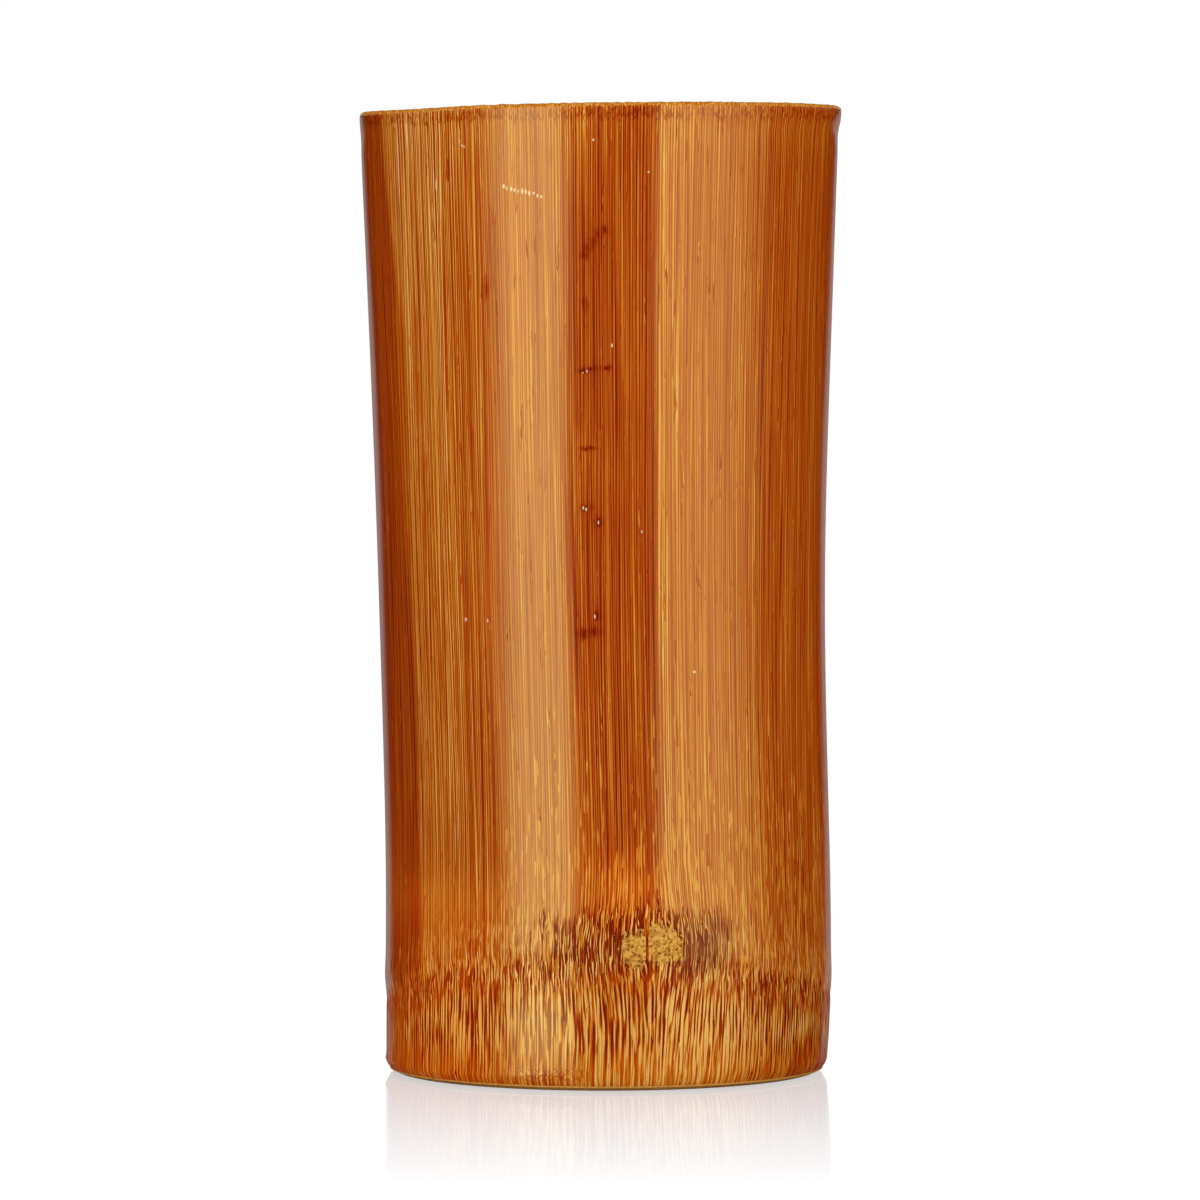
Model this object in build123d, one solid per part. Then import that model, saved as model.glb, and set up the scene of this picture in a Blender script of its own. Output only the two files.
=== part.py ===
from build123d import *

import os
from math import atan2, cos, degrees, radians, sin
from typing import NamedTuple

# Bamboo cup: one length of culm, sawn a little below a node, so that the node's own septum is the floor.
# Millimetres, +Z up. The origin is on the table, under the centre of the rim. The branch scars face -Y.

# Overall
CUP_HEIGHT = 150.0  # the rim's high side
NODE_HEIGHT = 17.0  # top of the septum's edge

# Outside diameters of the culm at even steps from its foot to its top
FOOT_DIAMETER = 68.4
NODE_DIAMETER = 69.3
WAIST_DIAMETER = 68.9  # the slimmest part of the internode
LOW_SHAFT_DIAMETER = 69.5
SHAFT_DIAMETER = 70.8
HIGH_SHAFT_DIAMETER = 72.6
TOP_DIAMETER = 74.6

# How far the culm's middle stands off the rim's at the lower steps: the stalk grew with a slight crook to +X
FOOT_SHIFT = 0.8
NODE_SHIFT = 1.35
WAIST_SHIFT = 0.9
LOW_SHAFT_SHIFT = 0.4
SHAFT_SHIFT = 0.15

# Wall, skin and lining
FOOT_WALL = 7.6
TOP_WALL = 6.0
SKIN_THICKNESS = 0.8  # the hard outer rind, stained dark and lacquered
LINING_THICKNESS = 0.6  # pith left on the inside

# Rim
RIM_DROP = 0.9  # the saw ran out of square, so the -X side is lower
RIM_ROUNDING = 0.8
LIP_PROUD = 0.25  # bead of lacquer round the rim, past the top diameter
LIP_HEIGHT = 2.0
LIP_RUN_OUT = 1.2  # the bead's underside, down the wall
LIP_ROOT = 0.7  # and in towards it

# Septum and the shoulders that it grows from
SEPTUM_THICKNESS = 4.5
SEPTUM_DISH = 1.5
SHOULDER_ROUNDING = 5.0
SHOULDER_LEDGE = 1.0
LINING_LIFT = 1.0  # the lining stops this far above the shoulder

# Foot
RECESS_DIAMETER = 52.0
RECESS_ROUNDING = 3.0
FOOT_ROUNDING = 2.5
FOOT_INNER_ROUNDING = 0.8

# Branch scars: the stumps of a pair of unequal branches, sanded flush, either side of a crack
SCAR_CRACK_ANGLE = 9.7  # round from -Y towards +X, in degrees
SCAR_CRACK_WIDTH = 0.5
SCAR_RISE = 5.5  # main scar's middle above the node
SCAR_DEPTH = 4.5
SCAR_NARROWING = 0.9  # all round, at the scar's inner end
MAIN_SCAR_WIDTH = 5.2
MAIN_SCAR_HEIGHT = 5.8
SIDE_SCAR_WIDTH = 3.7
SIDE_SCAR_HEIGHT = 4.9
SIDE_SCAR_DROP = 0.8  # side scar's middle below the main one's

SAW_ALLOWANCE = 3.0  # blank past each saw cut, and tools past what they cut

DIAMETERS = [
    FOOT_DIAMETER,
    NODE_DIAMETER,
    WAIST_DIAMETER,
    LOW_SHAFT_DIAMETER,
    SHAFT_DIAMETER,
    HIGH_SHAFT_DIAMETER,
    TOP_DIAMETER,
]
SHIFTS = [FOOT_SHIFT, NODE_SHIFT, WAIST_SHIFT, LOW_SHAFT_SHIFT, SHAFT_SHIFT, 0.0, 0.0]

LIP_RADIUS = TOP_DIAMETER / 2 + LIP_PROUD
SEPTUM_UNDERSIDE = NODE_HEIGHT - SEPTUM_THICKNESS
SEPTUM_RADIUS = NODE_DIAMETER / 2 - FOOT_WALL - SHOULDER_ROUNDING - SHOULDER_LEDGE
LINING_FOOT = NODE_HEIGHT + SHOULDER_ROUNDING + LINING_LIFT


def culm(inset=0.0, inset_at_top=None):
    """The blank stalk, its surface moved in by an inset that changes evenly from foot to top."""
    change = 0.0 if inset_at_top is None else inset_at_top - inset
    sections = []
    for step, (diameter, shift) in enumerate(zip(DIAMETERS, SHIFTS)):
        share = step / (len(DIAMETERS) - 1)
        height = share * (CUP_HEIGHT + 2 * SAW_ALLOWANCE) - SAW_ALLOWANCE
        radius = diameter / 2 - inset - share * change
        sections.append(Pos(shift, 0, height) * Circle(radius))
    return loft(sections)


def above(solid, height):
    """The part of a solid above a level."""
    return split(solid, bisect_by=Plane.XY.offset(height), keep=Keep.TOP)


def lip():
    """A disc whose edge makes the bead round the rim, run out into the wall underneath."""
    low = CUP_HEIGHT - RIM_DROP - LIP_HEIGHT - LIP_RUN_OUT
    high = CUP_HEIGHT + SAW_ALLOWANCE
    disc = extrude(Pos(0, 0, low) * Circle(LIP_RADIUS), high - low)
    edge = disc.edges().filter_by(GeomType.CIRCLE).sort_by(Axis.Z)[0]
    return chamfer(edge, LIP_RUN_OUT, LIP_ROOT, reference=disc.faces().filter_by(GeomType.CYLINDER)[0])


def foot_recess():
    """The start of the next internode, below the septum."""
    height = SEPTUM_UNDERSIDE + SAW_ALLOWANCE
    hollow = extrude(Pos(NODE_SHIFT, 0, -SAW_ALLOWANCE) * Circle(RECESS_DIAMETER / 2), height)
    return fillet(hollow.edges().filter_by(GeomType.CIRCLE).sort_by(Axis.Z)[-1], RECESS_ROUNDING)


def drinking_hollow():
    """The cavity that is drunk from, rounded where its wall turns in to the septum."""
    hollow = above(culm(FOOT_WALL, TOP_WALL), NODE_HEIGHT)
    return fillet(hollow.faces().sort_by(Axis.Z)[0].edges(), SHOULDER_ROUNDING)


def septum_seat():
    """The round hole in the wall's shoulders that the septum closes."""
    return extrude(Pos(NODE_SHIFT, 0, SEPTUM_UNDERSIDE) * Circle(SEPTUM_RADIUS), SEPTUM_THICKNESS)


def whole_wall():
    """The sawn, hollowed and sanded culm, before it is parted into skin, wall and lining."""
    rim_tilt = degrees(atan2(RIM_DROP, 2 * LIP_RADIUS))
    rim = Plane((LIP_RADIUS, 0, CUP_HEIGHT)).rotated((0, -rim_tilt, 0))
    stalk = above(culm() + lip(), 0)
    stalk = split(stalk, bisect_by=rim, keep=Keep.BOTTOM)
    wall = stalk - drinking_hollow() - foot_recess() - septum_seat()
    wall = fillet(wall.faces().sort_by(Axis.Z)[-1].edges(), RIM_ROUNDING)
    foot_edges = wall.faces().sort_by(Axis.Z)[0].edges().sort_by(SortBy.LENGTH)
    wall = fillet(foot_edges[-1], FOOT_ROUNDING)
    foot_edges = wall.faces().sort_by(Axis.Z)[0].edges().sort_by(SortBy.LENGTH)
    return fillet(foot_edges[0], FOOT_INNER_ROUNDING)


def node_septum():
    """The woody web across the node, dished on top and bulging below."""
    middle_top, middle_underside = NODE_HEIGHT - SEPTUM_DISH, SEPTUM_UNDERSIDE - SEPTUM_DISH
    top = TangentArc((0, middle_top), (SEPTUM_RADIUS, NODE_HEIGHT), tangent=(1, 0))
    edge = Line((SEPTUM_RADIUS, NODE_HEIGHT), (SEPTUM_RADIUS, SEPTUM_UNDERSIDE))
    underside = TangentArc((0, middle_underside), (SEPTUM_RADIUS, SEPTUM_UNDERSIDE), tangent=(1, 0))
    axis = Line((0, middle_underside), (0, middle_top))
    half_section = make_face(Plane.XZ * Curve([top, edge, underside, axis]))
    return Pos(NODE_SHIFT, 0, 0) * revolve(half_section, Axis.Z)


def branch_stump(side, width, height, rise):
    """A tapering peg through the wall's surface. side is +1 or -1, for its side of the crack."""
    off_crack = side * (SCAR_CRACK_WIDTH + width) / 2
    angle = radians(SCAR_CRACK_ANGLE) + off_crack / (NODE_DIAMETER / 2)
    outward = Vector(sin(angle), -cos(angle), 0)
    middle = Vector(NODE_SHIFT, 0, NODE_HEIGHT + rise) + outward * (NODE_DIAMETER / 2)
    face = Plane(middle, x_dir=(cos(angle), sin(angle), 0), z_dir=outward)
    growth = SCAR_NARROWING * SAW_ALLOWANCE / SCAR_DEPTH
    outer = face.offset(SAW_ALLOWANCE) * Ellipse(width / 2 + growth, height / 2 + growth)
    inner = face.offset(-SCAR_DEPTH) * Ellipse(width / 2 - SCAR_NARROWING, height / 2 - SCAR_NARROWING)
    return loft([outer, inner])


def cup():
    """All the pieces of the cup, by name."""
    wall = whole_wall()
    heartwood = above(culm(SKIN_THICKNESS), 0)
    lining_zone = above(culm(FOOT_WALL - LINING_THICKNESS, TOP_WALL - LINING_THICKNESS), LINING_FOOT)
    main = branch_stump(1, MAIN_SCAR_WIDTH, MAIN_SCAR_HEIGHT, SCAR_RISE)
    side = branch_stump(-1, SIDE_SCAR_WIDTH, SIDE_SCAR_HEIGHT, SCAR_RISE - SIDE_SCAR_DROP)
    inner_wall = wall & heartwood
    return {
        "culm_wall": inner_wall - lining_zone - main - side,
        "lacquered_skin": wall - heartwood - main - side,
        "pith_lining": inner_wall & lining_zone,
        "node_septum": node_septum(),
        "main_branch_scar": wall & main,
        "side_branch_scar": wall & side,
    }


os.makedirs("parts", exist_ok=True)
for name, piece in cup().items():
    export_step(piece, f"parts/{name}.step")
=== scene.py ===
from math import atan, cos, pi, radians, sin

import bpy
import numpy as np
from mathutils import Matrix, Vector
from mathutils.bvhtree import BVHTree


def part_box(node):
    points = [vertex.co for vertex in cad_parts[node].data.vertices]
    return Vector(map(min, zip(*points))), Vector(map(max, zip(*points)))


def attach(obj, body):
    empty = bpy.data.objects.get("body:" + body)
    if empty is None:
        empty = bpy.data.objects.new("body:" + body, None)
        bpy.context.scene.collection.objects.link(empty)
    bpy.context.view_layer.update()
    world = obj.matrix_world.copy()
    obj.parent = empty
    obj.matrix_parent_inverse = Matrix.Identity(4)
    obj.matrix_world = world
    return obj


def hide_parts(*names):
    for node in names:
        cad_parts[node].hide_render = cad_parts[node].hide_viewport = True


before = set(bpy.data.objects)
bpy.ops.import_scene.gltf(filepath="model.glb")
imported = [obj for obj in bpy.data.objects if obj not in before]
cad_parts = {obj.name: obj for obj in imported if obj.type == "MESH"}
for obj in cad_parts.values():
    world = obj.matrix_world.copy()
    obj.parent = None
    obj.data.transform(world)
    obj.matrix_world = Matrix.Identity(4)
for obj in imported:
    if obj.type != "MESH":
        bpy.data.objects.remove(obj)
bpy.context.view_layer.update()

# Bamboo cup. Metres, +Z up, with the branch scars on the -Y side. Angles run round from -Y towards +X.
MM = 0.001
TURN = 2 * pi

# Sizes that the solids have too
SKIN = 0.8 * MM
LINING = 0.6 * MM
WALL = 6.0 * MM  # at the rim
RIM_DROP = 0.9 * MM
RIM_ROUNDING = 0.8 * MM
FOOT_ROUNDING = 2.5 * MM
FOOT_INNER_ROUNDING = 0.8 * MM
SHOULDER_ROUNDING = 5.0 * MM
RECESS_ROUNDING = 3.0 * MM
RECESS_RADIUS = 26.0 * MM
SEPTUM_DISH = 1.5 * MM
CRACK_ANGLE = radians(9.7)
CRACK_WIDTH = 0.5 * MM
MAIN_SCAR_WIDTH = 5.2 * MM
SIDE_SCAR_WIDTH = 3.7 * MM

# Sizes of the dressed pieces alone
LIP_PROUD = 0.28 * MM  # past the culm just under the lip
LIP_HEIGHT = 1.2 * MM
LIP_RUN_OUT = 3.6 * MM
FOOT_SKIN_SHARE = 0.55  # of the foot's rounding that is skin
SKIN_FOOT = FOOT_ROUNDING * (1 - sin(FOOT_SKIN_SHARE * pi / 2))  # the height where the skin ends
FOOT_WALL_INSET = 0.65 * MM  # of the wall's face from the culm's outline, where the skin ends
SCAR_PROUD = 0.03 * MM
SCAR_THICKNESS = 0.6 * MM
SCAR_EDGE_SINK = 0.1 * MM
MAIN_SCAR_SPREAD = 1.27  # how far the smeared edge reaches, as a share of the scar's size
SIDE_SCAR_SPREAD = 1.38

# Meshes
FELT_HEIGHTS = 60  # along each side of a solid
FIT_DEGREE = 9
SHARP_ANGLE = radians(50)
COLUMNS = 528
FRONT_CROWDING = 0.4  # how much closer the columns stand at the front
HIDDEN_SHARE = 0.04  # of a texture, for the faces between the layers
GRAIN_RADIUS = 35 * MM  # the round that the fibres are drawn on
SHAFT_ROWS = 45
NODE_ROWS = 105  # closer together, for the torn strands
NODE_ROWS_START = 0.70  # of the way down
WEB_COLUMNS = 128
SCAR_COLUMNS = 96

# The two round spots of a lens-shaped piece's texture: middles and radii
SPOT_HEIGHT = 0.5
TOP_SPOT, TOP_SPOT_RADIUS = 0.3, 0.29
UNDER_SPOT, UNDER_SPOT_RADIUS = 0.8, 0.17


# Measuring the solids

def feeler(node):
    """A function that gives the X where a level ray along X meets a CAD node."""
    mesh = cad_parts[node].data
    tree = BVHTree.FromPolygons([v.co for v in mesh.vertices], [p.vertices for p in mesh.polygons])

    def felt(height, start, way):
        hit = tree.ray_cast(Vector((start, 0, height)), Vector((way, 0, 0)))[0]
        return hit.x

    return felt


def smooth_fit(heights, values):
    return np.polynomial.Polynomial.fit(heights, values, FIT_DEGREE)


def outside_of(node, low, high):
    """The radius and the middle of a round node's outside, as functions of height."""
    felt = feeler(node)
    heights = np.linspace(low, high, FELT_HEIGHTS)
    left = np.array([felt(z, -1, 1) for z in heights])
    right = np.array([felt(z, 1, -1) for z in heights])
    return smooth_fit(heights, (right - left) / 2), smooth_fit(heights, (right + left) / 2)


def inside_of(node, low, high):
    """The radius of a round node's inside, as a function of height."""
    felt = feeler(node)
    heights = np.linspace(low, high, FELT_HEIGHTS)
    left = np.array([felt(z, 0, -1) for z in heights])
    right = np.array([felt(z, 0, 1) for z in heights])
    return smooth_fit(heights, (right - left) / 2)


RIM_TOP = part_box("culm_wall")[1][2]
LINING_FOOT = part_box("pith_lining")[0][2]
septum_low, septum_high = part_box("node_septum")
SEPTUM_RADIUS = (septum_high[0] - septum_low[0]) / 2
SEPTUM_X = (septum_high[0] + septum_low[0]) / 2
SEPTUM_EDGE = septum_high[2]
SEPTUM_UNDERSIDE = septum_low[2] + SEPTUM_DISH
LOWEST_MEASURED = 2 * MM
HIGHEST_MEASURED = RIM_TOP - 6 * MM
culm_radius, culm_middle = outside_of("lacquered_skin", LOWEST_MEASURED, HIGHEST_MEASURED)
bore_radius = inside_of("pith_lining", LINING_FOOT + MM, RIM_TOP - 3 * MM)


# Shapes

even_angles = np.linspace(-pi, pi, COLUMNS, endpoint=False)
ANGLES = even_angles - FRONT_CROWDING * np.sin(even_angles)
LEVEL = 0 * ANGLES


def steps(count):
    """Even shares up to 1, without 0."""
    return np.linspace(0, 1, count + 1)[1:]


def wander(angle, height, reach_round, reach_up, seed):
    """Smooth chance waves, mostly between -1 and 1, without a seam, over spans of those lengths."""
    draws = np.random.default_rng(seed)
    total = 0
    waves = 10
    most = max(2, round(TURN * GRAIN_RADIUS / reach_round))
    for _ in range(waves):
        turns = draws.integers(1, most + 1)
        rise = draws.normal() * TURN / (2 * reach_up)
        phase = draws.uniform(0, TURN)
        total = total + np.cos(turns * angle + rise * height + phase)
    return total / np.sqrt(waves)


def near(value, middle, reach, power=2):
    """A bell of 1 at the middle, nearly 0 past twice the reach. A higher power gives it a flatter top."""
    return np.exp(-np.abs((value - middle) / reach) ** power)


def step(value, low, high):
    share = np.clip((value - low) / (high - low), 0, 1)
    return share * share * (3 - 2 * share)


def off_angle(angle, middle):
    """Angles from a middle angle, between minus and plus half a turn."""
    return (angle - middle + pi) % TURN - pi


def rim_height(angle):
    """The height of the sawn rim: it slopes down to -X, and is worn a little more on that side."""
    slope = RIM_TOP - RIM_DROP * (1 - np.sin(angle)) / 2
    worn = 0.25 * MM * near(off_angle(angle, radians(-54)), 0, radians(20))
    return slope - worn + 0.04 * MM * wander(angle, LEVEL, 1.5 * MM, 1, 3)


def node_line(angle):
    """The height of the line that the fallen leaf sheath left round the node."""
    degree = np.degrees(angle)
    line = 13.0 + 7.4 * np.cos(angle + radians(4)) - 2.2 * near(degree, -75, 22)
    return line * MM + 0.25 * MM * wander(angle, 0 * angle, 3 * MM, 1, 31)


def unevenness(angle, height):
    """How far the grown surface stands off an even one."""
    waves = 0.10 * MM * wander(angle, height, 25 * MM, 50 * MM, 41)
    above_line = height - node_line(angle)
    groove = -0.09 * MM * near(above_line, -0.6 * MM, 0.9 * MM)
    swelling = 0.12 * MM * near(above_line, 2.2 * MM, 2.5 * MM)
    hollow = -0.22 * MM * near(angle, -pi / 2, radians(40)) * step(height, 16 * MM, 12 * MM)
    off_foot = step(height, 0, 4 * MM)
    off_rim = step(height, RIM_TOP, RIM_TOP - 8 * MM)
    return (waves + groove + swelling + hollow) * off_foot * off_rim


def round_points(angle, radius, middle, height):
    """Points at those angles, radii and heights round a middle that is off by some X."""
    return np.stack(np.broadcast_arrays(
        middle + radius * np.sin(angle), -radius * np.cos(angle), height), axis=-1)


def on_culm(angle, height, offset):
    """Points off the even culm's surface by an offset, outwards."""
    inside = np.clip(height, LOWEST_MEASURED, HIGHEST_MEASURED)
    slope = culm_radius.deriv()(inside)
    radius = culm_radius(inside) + slope * (height - inside)
    return round_points(angle, radius + offset, culm_middle(inside), height)


def in_bore(angle, height, offset):
    """Points off the hollow's wall by an offset, outwards."""
    inside = np.clip(height, LINING_FOOT + MM, RIM_TOP - 3 * MM)
    return round_points(angle, bore_radius(inside) + offset, culm_middle(inside), height)


def on_foot(bend):
    """Points on the foot's rounding: bend is 0 at the culm's side and a quarter turn underneath."""
    return on_culm(ANGLES, LEVEL + FOOT_ROUNDING * (1 - sin(bend)), -FOOT_ROUNDING * (1 - cos(bend)))


def grain_place(angle, height):
    """Where a point lies along the fibres, which part round the branch scars."""
    off = off_angle(angle, CRACK_ANGLE)
    pushed = 0.28 * off * near(off, 0, radians(14)) * near(height, 21 * MM, 8 * MM)
    return round_points(angle - pushed, GRAIN_RADIUS, 0.0, height)


def new_piece(name, points, faces, uv, material, fields):
    """A mesh object with its texture layout and named fields for its material."""
    mesh = bpy.data.meshes.new(name)
    mesh.from_pydata(points.reshape(-1, 3).tolist(), [], faces)
    layer = mesh.uv_layers.new(name="OFBake")
    layer.data.foreach_set("uv", np.asarray(uv, np.float32).ravel())
    for field, values in fields.items():
        kind, slot = ("FLOAT_VECTOR", "vector") if values.shape[-1:] == (3,) else ("FLOAT", "value")
        attribute = mesh.attributes.new(field, kind, "POINT")
        attribute.data.foreach_set(slot, values.astype(np.float32).ravel())
    mesh.shade_smooth()
    mesh.set_sharp_from_angle(angle=SHARP_ANGLE)
    mesh.materials.append(material)
    piece = bpy.data.objects.new(name, mesh)
    bpy.context.collection.objects.link(piece)
    return piece


def dress(piece, node):
    """Puts a piece on the body in the place of a CAD node."""
    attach(piece, "root")
    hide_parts(node)


class Rows:
    """Rows of points round the cup: down the outside of a ring, in under it and up its inside."""

    def __init__(self):
        self.points, self.shown, self.cut = [], [], []

    def add(self, points, shown=True, cut=0.0):
        """shown is whether the band up to the next row can be seen, cut is 1 on end grain."""
        self.points.append(points)
        self.shown.append(shown)
        self.cut.append(cut)

    def quarter(self, count, place):
        """Rows on a quarter round. place gives the points for the shares of its two legs."""
        for bend in np.linspace(0, pi / 2, count + 1)[1:]:
            self.add(place(sin(bend), 1 - cos(bend)))

    def faces(self):
        rows = len(self.points)
        row, column = np.meshgrid(np.arange(rows), np.arange(COLUMNS), indexing="ij")
        down, on = (row + 1) % rows, (column + 1) % COLUMNS
        corners = [row * COLUMNS + column, down * COLUMNS + column, down * COLUMNS + on, row * COLUMNS + on]
        return np.stack(corners, axis=-1).reshape(-1, 4).tolist()

    def uv(self):
        points, shown = np.array(self.points), np.array(self.shown)
        lengths = np.linalg.norm(np.roll(points, -1, axis=0) - points, axis=-1).mean(axis=1)
        hidden = HIDDEN_SHARE * lengths[shown].sum() / max(1, np.sum(~shown))
        spans = np.where(shown, lengths, hidden)
        height = 1 - np.concatenate([[0], np.cumsum(spans)]) / spans.sum()
        side = np.append((ANGLES + pi) / TURN, 1.0)
        row, column = np.meshgrid(np.arange(len(spans)), np.arange(COLUMNS), indexing="ij")
        left, right, top, bottom = side[column], side[column + 1], height[row], height[row + 1]
        return np.stack([left, top, left, bottom, right, bottom, right, top], axis=-1)

    def piece(self, name, material, fields):
        return new_piece(name, np.array(self.points), self.faces(), self.uv(), material, fields)

    def cut_field(self):
        return np.repeat(np.array(self.cut)[:, None], COLUMNS, axis=1)


def lens_piece(name, top, under, top_middle, under_middle, material, fields):
    """A closed piece from rows of points: out from a middle on top, and in to a middle underneath."""
    rows = np.concatenate([top, under])
    count, columns = rows.shape[:2]
    points = np.concatenate([rows.reshape(-1, 3), [top_middle, under_middle]])
    first, last = count * columns, count * columns + 1
    faces, uv = [], []

    def on_spot(middle, reach, column):
        bend = TURN * column / columns
        return middle + reach * cos(bend), SPOT_HEIGHT + reach * sin(bend)

    def on_top(row, column):
        return on_spot(TOP_SPOT, TOP_SPOT_RADIUS * (row + 1) / len(top), column)

    def below(row, column):
        return on_spot(UNDER_SPOT, UNDER_SPOT_RADIUS * (count - row) / len(under), column)

    for column in range(columns):
        on = (column + 1) % columns
        faces.append([first, column, on])
        uv += [(TOP_SPOT, SPOT_HEIGHT), on_top(0, column), on_top(0, column + 1)]
        for row in range(count - 1):
            place = on_top if row < len(top) - 1 else below
            start, end = row * columns, (row + 1) * columns
            faces.append([start + column, end + column, end + on, start + on])
            corners = (row, column), (row + 1, column), (row + 1, column + 1), (row, column + 1)
            uv += [place(*corner) for corner in corners]
        faces.append([(count - 1) * columns + column, last, (count - 1) * columns + on])
        uv += [below(count - 1, column), (UNDER_SPOT, SPOT_HEIGHT), below(count - 1, column + 1)]
    return new_piece(name, points, faces, uv, material, fields)


# Materials

class Nodes:
    """A node tree, with a short method for each kind of node."""

    def __init__(self, tree):
        self.tree = tree

    def put(self, socket, value):
        if isinstance(value, bpy.types.NodeSocket):
            self.tree.links.new(value, socket)
        else:
            socket.default_value = value

    def field(self, name, output="Fac"):
        node = self.tree.nodes.new("ShaderNodeAttribute")
        node.attribute_name = name
        return node.outputs[output]

    def math(self, operation, *values):
        node = self.tree.nodes.new("ShaderNodeMath")
        node.operation = operation
        for socket, value in zip(node.inputs, values):
            self.put(socket, value)
        return node.outputs[0]

    def scaled(self, value, factor, offset):
        return self.math("MULTIPLY_ADD", value, factor, offset)

    def add(self, first, *others):
        total = first
        for other in others:
            total = self.math("ADD", total, other)
        return total

    def times(self, first, *others):
        product = first
        for other in others:
            product = self.math("MULTIPLY", product, other)
        return product

    def most(self, first, *others):
        largest = first
        for other in others:
            largest = self.math("MAXIMUM", largest, other)
        return largest

    def vector(self, operation, *values):
        node = self.tree.nodes.new("ShaderNodeVectorMath")
        node.operation = operation
        for socket, value in zip(node.inputs, values):
            self.put(socket, value)
        return node.outputs["Value" if operation == "LENGTH" else "Vector"]

    def noise(self, vector, detail=0.0, output="Fac"):
        node = self.tree.nodes.new("ShaderNodeTexNoise")
        self.put(node.inputs["Vector"], vector)
        self.put(node.inputs["Scale"], 1.0)
        self.put(node.inputs["Detail"], detail)
        return node.outputs[output]

    def chance(self, vector, detail=0.0):
        """Chance values round 0, mostly between -1 and 1."""
        return self.scaled(self.noise(vector, detail), 4.0, -2.0)

    def fibres(self, grain, pitch, length, detail=0.0, start=0.0):
        """Chance streaks along the culm. Another start gives other streaks."""
        stretch = (1 / pitch / MM, 1 / pitch / MM, 1 / length / MM)
        return self.chance(self.vector("MULTIPLY_ADD", grain, stretch, (start, start, start)), detail)

    def split(self, vector):
        node = self.tree.nodes.new("ShaderNodeSeparateXYZ")
        self.put(node.inputs[0], vector)
        return node.outputs

    def join(self, *values):
        node = self.tree.nodes.new("ShaderNodeCombineXYZ")
        for socket, value in zip(node.inputs, values):
            self.put(socket, value)
        return node.outputs[0]

    def angle_of(self, vector):
        """The angle round the culm, from the -Y side."""
        x, y, _ = self.split(vector)
        return self.math("ARCTAN2", x, self.times(y, -1.0))

    def voronoi(self, place, dimensions):
        node = self.tree.nodes.new("ShaderNodeTexVoronoi")
        node.voronoi_dimensions = dimensions
        self.put(node.inputs["Vector"], place)
        self.put(node.inputs["Scale"], 1.0)
        return node.outputs

    def cells(self, grain, pitch, length, start=0.0):
        """A chance value from -1 to 1 for each cell of that width and length, on the unrolled skin."""
        across = self.times(self.angle_of(grain), GRAIN_RADIUS / pitch / MM)
        up = self.scaled(self.split(grain)[2], 1 / length / MM, start)
        node = self.tree.nodes.new("ShaderNodeSeparateColor")
        self.put(node.inputs[0], self.voronoi(self.join(across, up), "2D")["Color"])
        return self.scaled(node.outputs[0], 2.0, -1.0)

    def ripple(self, angle, pitch, stray):
        """Strands side by side at a pitch in millimetres, from -1 to 1. stray shifts them, in radians."""
        count = round(TURN * GRAIN_RADIUS / (pitch * MM))
        return self.math("SINE", self.scaled(angle, float(count), stray))

    def ease(self, value, low, high, start=0.0, end=1.0):
        node = self.tree.nodes.new("ShaderNodeMapRange")
        node.interpolation_type = "SMOOTHSTEP"
        for socket, setting in zip(node.inputs, (value, low, high, start, end)):
            self.put(socket, setting)
        return node.outputs[0]

    def mark(self, grain, angle, height, half_width, half_height, softness=0.4):
        """1 at a place on the skin, 0 past its edge. The angle is in degrees, the sizes in millimetres."""
        stretch = Vector((1 / half_width, 1 / half_width, 1 / half_height)) / MM
        turned = radians(angle)
        place = Vector((sin(turned) * GRAIN_RADIUS, -cos(turned) * GRAIN_RADIUS, height * MM))
        off = self.vector("MULTIPLY_ADD", grain, stretch, -place * stretch)
        return self.ease(self.vector("LENGTH", off), 1.0, softness)

    def mix(self, share, first, second):
        node = self.tree.nodes.new("ShaderNodeMix")
        node.data_type = "RGBA"  # its colours are sockets 6, 7 and 2
        self.put(node.inputs[0], share)
        self.put(node.inputs[6], first)
        self.put(node.inputs[7], second)
        return node.outputs[2]

    def mix_value(self, share, first, second):
        node = self.tree.nodes.new("ShaderNodeMix")
        self.put(node.inputs[0], share)
        self.put(node.inputs[2], first)
        self.put(node.inputs[3], second)
        return node.outputs[0]

    def ramp(self, value, stops):
        node = self.tree.nodes.new("ShaderNodeValToRGB")
        elements = node.color_ramp.elements
        while len(elements) < len(stops):
            elements.new(0.5)
        for element, (place, colour) in zip(elements, stops):
            element.position = place
            element.color = (*colour, 1)
        self.put(node.inputs[0], value)
        return node.outputs[0]


class Shader(Nodes):
    """A material with one principled surface. The functions that use one call it s."""

    def __init__(self, name):
        self.material = bpy.data.materials.new(name)
        self.material.use_nodes = True
        super().__init__(self.material.node_tree)
        self.tree.nodes.clear()
        self.surface = self.tree.nodes.new("ShaderNodeBsdfPrincipled")
        self.output = self.tree.nodes.new("ShaderNodeOutputMaterial")
        self.tree.links.new(self.surface.outputs[0], self.output.inputs[0])

    def set(self, **values):
        for name, value in values.items():
            self.put(self.surface.inputs[name.replace("_", " ")], value)

    def bump(self, height, distance):
        node = self.tree.nodes.new("ShaderNodeBump")
        self.put(node.inputs["Distance"], distance)
        self.put(node.inputs["Height"], height)
        self.set(Normal=node.outputs[0])


# Stained bamboo from its darkest fibres to bare straw
BAMBOO_TONES = [
    (0.00, (0.18, 0.012, 0.0005)),
    (0.15, (0.28, 0.022, 0.0005)),
    (0.30, (0.37, 0.039, 0.0007)),
    (0.45, (0.45, 0.061, 0.0012)),
    (0.60, (0.50, 0.098, 0.0030)),
    (0.75, (0.60, 0.183, 0.0090)),
    (0.90, (0.74, 0.345, 0.0430)),
    (1.00, (0.82, 0.475, 0.1350)),
]
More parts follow.
